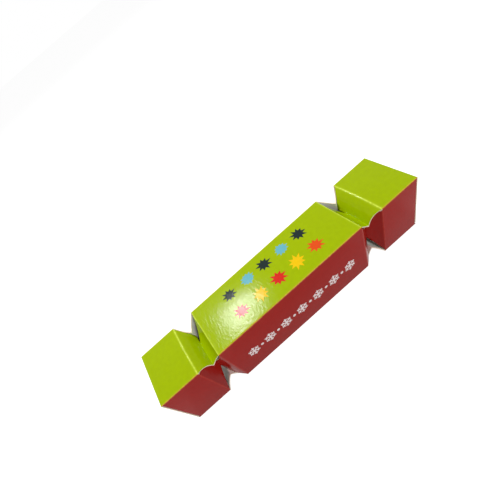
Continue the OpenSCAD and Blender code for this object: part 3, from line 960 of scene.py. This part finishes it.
def crown():
    """The pleated strip, with its points at the right."""
    half = crown_high.y / MM - CROWN_T / 2
    start = crown_low.x / MM
    end = crown_high.x / MM
    point_w = 2 * (half + CROWN_T / 2) / CROWN_POINTS
    bend = CROWN_PITCH / 2
    path = []
    for layer in range(CROWN_LAYERS):
        z = crown_low.z / MM + CROWN_T / 2 + layer * CROWN_PITCH
        going = 1 if layer % 2 == 0 else -1
        for i in range(LAYER_STEPS + 1):
            path.append((going * (-half + bend + (2 * half - 2 * bend) * i / LAYER_STEPS), z))
        if layer < CROWN_LAYERS - 1:
            for i in range(1, BEND_STEPS):
                turn = math.pi * i / BEND_STEPS
                path.append((going * (half - bend + bend * math.sin(turn)), z + bend * (1 - math.cos(turn))))
    shell = bmesh.new()
    rows = []
    for y, z in path:
        notch = abs((y + half + CROWN_T / 2) / point_w % 1 - 0.5) * 2
        tip = end - CROWN_POINT * notch
        row = []
        for i in range(STRIP_STEPS + 1):
            wave = TISSUE_WAVE * math.sin(WAVE_ALONG * i + WAVE_ACROSS * y)
            x = start + (tip - start) * i / STRIP_STEPS
            row.append(shell.verts.new((x * MM, y * MM, (z + wave) * MM)))
        rows.append(row)
    for row, after in zip(rows, rows[1:]):
        for i in range(STRIP_STEPS):
            shell.faces.new((row[i], row[i + 1], after[i + 1], after[i]))
    piece = finished("paper_crown_tissue", shell, [tissue_finish()])
    wall = piece.modifiers.new("wall", "SOLIDIFY")
    wall.thickness = TISSUE_T * MM
    wall.offset = 0
    return piece


crown_piece = crown()
fitted(crown_piece, "barrel", "tissue", "paper_crown")

# Motto slip
# A narrow slip of thin paper, left blank here, that keeps a slight curl from the roll it was cut from.
# It lies loose on the crown.
slip_low, slip_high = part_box("motto_slip")
SLIP_CURL = 0.5
SLIP_STEPS = 24
MOTTO_PAPER = fibrous("motto_paper", (240, 238, 230), (214, 210, 198), 0.25, 0.7)
slip_mid = (slip_low.x + slip_high.x) / 2 / MM
slip_half = (slip_high.x - slip_low.x) / 2 / MM
slip_along = [2 * i / SLIP_STEPS - 1 for i in range(SLIP_STEPS + 1)]
slip_path = [Vector((slip_mid + slip_half * share, slip_low.z / MM)) for share in slip_along]
slip = ribbon("motto_slip_paper", slip_path, slip_high.y / MM, (slip_high.z - slip_low.z) / MM,
              [MOTTO_PAPER], lambda x, y: SLIP_CURL * ((x - slip_mid) / slip_half) ** 4)
fitted(slip, "barrel", "motto_paper", "motto_slip")

# Gift
# A tiny pack of playing cards: a card box with a diamond pattern, open at one end with a thumb notch,
# and the cards in it. It lies loose on the lower panel at the right of the middle box.
PACK_WALL = 0.5
PACK_R = 0.3
PACK_STEP = 4.0
THUMB_R = 4.0
THUMB_STEPS = 14
DIAMONDS = 700
DIAMOND_BLUE = (40, 84, 150)
DIAMOND_PALE = (205, 218, 232)
PACK_BLOTCHES = (400, 0.95, 1.04, 3.0)
PACK_ROUGHNESS = (300, 0.36, 0.46)
PACK_BUMPS = (1000, 0.0, 1.0, 2.0)
PACK_DEPTH = 0.00001
CARD_T = 0.28
CARD_PITCH = 0.3
CARD_PLAY = 0.6
CARD_SKEW = 0.012
CARD_SEED = 7
pack_low, pack_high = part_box("gift_card_box")
cards_low, cards_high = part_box("gift_cards")


def diamond_finish():
    """Printed card with small pale diamonds on blue."""
    finish = Finish("gift_box_card")
    turned = finish.add("ShaderNodeMapping")
    turned.inputs["Rotation"].default_value = (0, 0, SQUARE / 2)
    finish.wire(finish.place, turned.inputs["Vector"])
    check = finish.add("ShaderNodeTexChecker")
    check.inputs["Scale"].default_value = DIAMONDS
    check.inputs["Color1"].default_value = colour(DIAMOND_BLUE)
    check.inputs["Color2"].default_value = colour(DIAMOND_PALE)
    finish.wire(turned.outputs["Vector"], check.inputs["Vector"])
    finish.wire(finish.shade(check.outputs["Color"], finish.grain(*PACK_BLOTCHES)),
                finish.surface.inputs["Base Color"])
    finish.wire(finish.grain(*PACK_ROUGHNESS), finish.surface.inputs["Roughness"])
    finish.relief(finish.grain(*PACK_BUMPS), PACK_DEPTH)
    return finish.material


GIFT_CARD = diamond_finish()
PLAYING_CARD = coated("playing_card", (238, 236, 228), (225, 222, 212))


def pack_panel(name, length, width, lay, notch):
    """A long wall of the card box, mitred to its neighbours, with or without a thumb notch."""
    shape = [(0, width / 2)]
    if notch:
        turns = [math.pi * i / THUMB_STEPS for i in range(1, THUMB_STEPS)]
        shape.append((0, THUMB_R))
        shape += [(THUMB_R * math.sin(turn), THUMB_R * math.cos(turn)) for turn in turns]
        shape.append((0, -THUMB_R))
    shape += [(0, -width / 2), (length, -width / 2), (length, width / 2)]
    folds = [(1, way * width / 2, -way, SQUARE / 2, PACK_R) for way in (-1, 1)]
    folds.append((0, length, -1, SQUARE / 2, PACK_R))
    return carton(name, shape, folds, lay, [GIFT_CARD], (), flat, PACK_STEP, PACK_WALL)


pack_x, pack_far = pack_low.x / MM, pack_high.x / MM
pack_half = pack_high.y / MM
pack_foot, pack_head = pack_low.z / MM, pack_high.z / MM
pack_mid = (pack_foot + pack_head) / 2
pack_len = pack_far - pack_x
pack_h = pack_head - pack_foot
walls = [
    pack_panel("pack_top", pack_len, 2 * pack_half,
               lambda u, v, z: Vector((pack_x + u, v, pack_head + z)) * MM, True),
    pack_panel("pack_bottom", pack_len, 2 * pack_half,
               lambda u, v, z: Vector((pack_x + u, v, pack_foot - z)) * MM, True),
    pack_panel("pack_front", pack_len, pack_h,
               lambda u, v, z: Vector((pack_x + u, -pack_half - z, pack_mid + v)) * MM, False),
    pack_panel("pack_back", pack_len, pack_h,
               lambda u, v, z: Vector((pack_x + u, pack_half + z, pack_mid + v)) * MM, False),
]
low, high = -pack_h / 2, pack_h / 2
shape = [(low, -pack_half), (high, -pack_half), (high, pack_half), (low, pack_half)]
folds = [(0, way * pack_h / 2, -way, SQUARE / 2, PACK_R) for way in (-1, 1)]
folds += [(1, way * pack_half, -way, SQUARE / 2, PACK_R) for way in (-1, 1)]
walls.append(carton("pack_end", shape, folds, lambda u, v, z: Vector((pack_far + z, v, pack_mid + u)) * MM,
                    [GIFT_CARD], (), flat, PACK_STEP, PACK_WALL))
card_box = joined("gift_box_card_walls", walls)
fitted(card_box, "barrel", "gift_box_card", "gift_card_box")


def stack_of_cards():
    """Cards one on another, each a little askew, made with Geometry Nodes."""
    tree, given = node_tree("stack_of_cards", Length="Float", Width="Float", Thickness="Float",
                            Pitch="Float", Count="Int", Middle="Vector", Skew="Float")
    size = tree.nodes.new("ShaderNodeCombineXYZ")
    for axis, label in (("X", "Length"), ("Y", "Width"), ("Z", "Thickness")):
        tree.links.new(given[label], size.inputs[axis])
    card = tree.nodes.new("GeometryNodeMeshCube")
    tree.links.new(size.outputs["Vector"], card.inputs["Size"])
    rise = tree.nodes.new("ShaderNodeCombineXYZ")
    tree.links.new(given["Pitch"], rise.inputs["Z"])
    line = tree.nodes.new("GeometryNodeMeshLine")
    tree.links.new(given["Count"], line.inputs["Count"])
    tree.links.new(given["Middle"], line.inputs["Start Location"])
    tree.links.new(rise.outputs["Vector"], line.inputs["Offset"])
    turn = tree.nodes.new("FunctionNodeRandomValue")
    turn.data_type = "FLOAT"
    turn.inputs["Seed"].default_value = CARD_SEED
    other_way = tree.nodes.new("ShaderNodeMath")
    other_way.operation = "MULTIPLY"
    other_way.inputs[1].default_value = -1.0
    tree.links.new(given["Skew"], other_way.inputs[0])
    tree.links.new(other_way.outputs["Value"], turn.inputs[LEAST])
    tree.links.new(given["Skew"], turn.inputs[MOST])
    askew = tree.nodes.new("ShaderNodeCombineXYZ")
    tree.links.new(turn.outputs[DRAWN], askew.inputs["Z"])
    copied(tree, line.outputs["Mesh"], card.outputs["Mesh"], "Rotation", askew.outputs["Vector"],
           PLAYING_CARD)
    return tree


card_size = cards_high - cards_low
card_middle = (cards_low + cards_high) / 2
card_middle.z = cards_low.z + CARD_PITCH / 2 * MM
cards = grown("gift_cards_stack", stack_of_cards(), {
    "Length": card_size.x - CARD_PLAY * MM, "Width": card_size.y - CARD_PLAY * MM, "Thickness": CARD_T * MM,
    "Pitch": CARD_PITCH * MM, "Count": int(card_size.z / (CARD_PITCH * MM)), "Middle": card_middle,
    "Skew": CARD_SKEW})
for face in cards.data.polygons:
    face.use_smooth = False
fitted(cards, "barrel", "playing_card", "gift_cards")

# Floor, light and camera
# A plain white floor that keeps the object's shadow, a soft lamp behind, another before it and a pale sky.
# The camera stands at the photograph's viewing angle.
FLOOR_HALF = 3
FLOOR_DROP = 0.0001
floor_mesh = bpy.data.meshes.new("floor")
floor_corners = [(x * FLOOR_HALF, y * FLOOR_HALF, 0) for x, y in ((-1, -1), (1, -1), (1, 1), (-1, 1))]
floor_mesh.from_pydata(floor_corners, [], [(0, 1, 2, 3)])
floor = placed("floor", floor_mesh)
floor.location.z = -FLOOR_DROP


def seen_directly(tree):
    """1 where the camera sees a surface directly, or in a gloss or through glass."""
    path = tree.nodes.new("ShaderNodeLightPath")
    total = path.outputs["Is Camera Ray"]
    for label in ("Is Glossy Ray", "Is Transmission Ray"):
        node = tree.nodes.new("ShaderNodeMath")
        node.operation = "MAXIMUM"
        tree.links.new(total, node.inputs[0])
        tree.links.new(path.outputs[label], node.inputs[1])
        total = node.outputs["Value"]
    return total


def two_ways(tree, lit, seen, output):
    """Ends a tree: one shader as it lights the object, and another as it is seen."""
    choice = tree.nodes.new("ShaderNodeMixShader")
    tree.links.new(seen_directly(tree), choice.inputs["Fac"])
    tree.links.new(lit, choice.inputs[1])
    tree.links.new(seen, choice.inputs[2])
    tree.links.new(choice.outputs["Shader"], tree.nodes.new(output).inputs["Surface"])


FLOOR_TONE = 0.55
FLOOR_GLOW = 0.9
paint = bpy.data.materials.new("floor_white")
paint.use_nodes = True
tree = paint.node_tree
tree.nodes.clear()
matt = tree.nodes.new("ShaderNodeBsdfDiffuse")
matt.inputs["Color"].default_value = (FLOOR_TONE, FLOOR_TONE, FLOOR_TONE, 1)
glow = tree.nodes.new("ShaderNodeEmission")
glow.inputs["Strength"].default_value = FLOOR_GLOW
both = tree.nodes.new("ShaderNodeAddShader")
tree.links.new(matt.outputs["BSDF"], both.inputs[0])
tree.links.new(glow.outputs["Emission"], both.inputs[1])
two_ways(tree, matt.outputs["BSDF"], both.outputs["Shader"], "ShaderNodeOutputMaterial")
floor_mesh.materials.append(paint)

SKY = 0.14
world = bpy.data.worlds.new("sky")
bpy.context.scene.world = world
world.use_nodes = True
tree = world.node_tree
tree.nodes.clear()
dim = tree.nodes.new("ShaderNodeBackground")
dim.inputs["Strength"].default_value = SKY
bright = tree.nodes.new("ShaderNodeBackground")
for node in (dim, bright):
    node.inputs["Color"].default_value = (1, 1, 1, 1)
two_ways(tree, dim.outputs["Background"], bright.outputs["Background"], "ShaderNodeOutputWorld")

# Each lamp's name, place, aim, power in watts and width.
LAMPS = (("window_lamp", (-0.080, 0.529, 0.755), (-0.027, -0.010, 0.036), 6.8, 0.14),
         ("front_lamp", (0.1, -0.72, 0.42), (0, 0, 0.02), 3.1, 0.3))
for name, place, aim, power, size in LAMPS:
    lamp_data = bpy.data.lights.new(name, "AREA")
    lamp_data.energy = power
    lamp_data.size = size
    lamp = placed(name, lamp_data)
    lamp.location = place
    lamp.rotation_euler = (Vector(aim) - Vector(place)).to_track_quat("-Z", "Y").to_euler()

# The camera was fitted to 18 corners of the object, in pixels of the photograph.
PHOTO_SIZE = 500
FOCAL = 286.08
PRINCIPAL = (252.43, 295.58)
RIGHT = Vector((0.74561, -0.52613, -0.40897))
DOWN = Vector((-0.66622, -0.57526, -0.47458))
FORWARD = Vector((0.01443, 0.62631, -0.77944))
CAMERA_PLACE = (-0.018078, -0.100035, 0.156018)
SENSOR_W = 36
NEAREST = 0.005
camera_data = bpy.data.cameras.new("camera")
camera_data.sensor_width = SENSOR_W
camera_data.lens = FOCAL / PHOTO_SIZE * SENSOR_W
camera_data.shift_x = 0.5 - PRINCIPAL[0] / PHOTO_SIZE
camera_data.shift_y = PRINCIPAL[1] / PHOTO_SIZE - 0.5
camera_data.clip_start = NEAREST
camera = placed("camera", camera_data)
turn = Matrix((RIGHT, -DOWN, -FORWARD)).transposed()
camera.matrix_world = Matrix.Translation(CAMERA_PLACE) @ turn.to_4x4()
bpy.context.scene.camera = camera
bpy.context.scene.view_settings.view_transform = "Standard"

# Update
# The view layer is brought up to date.
bpy.context.view_layer.update()
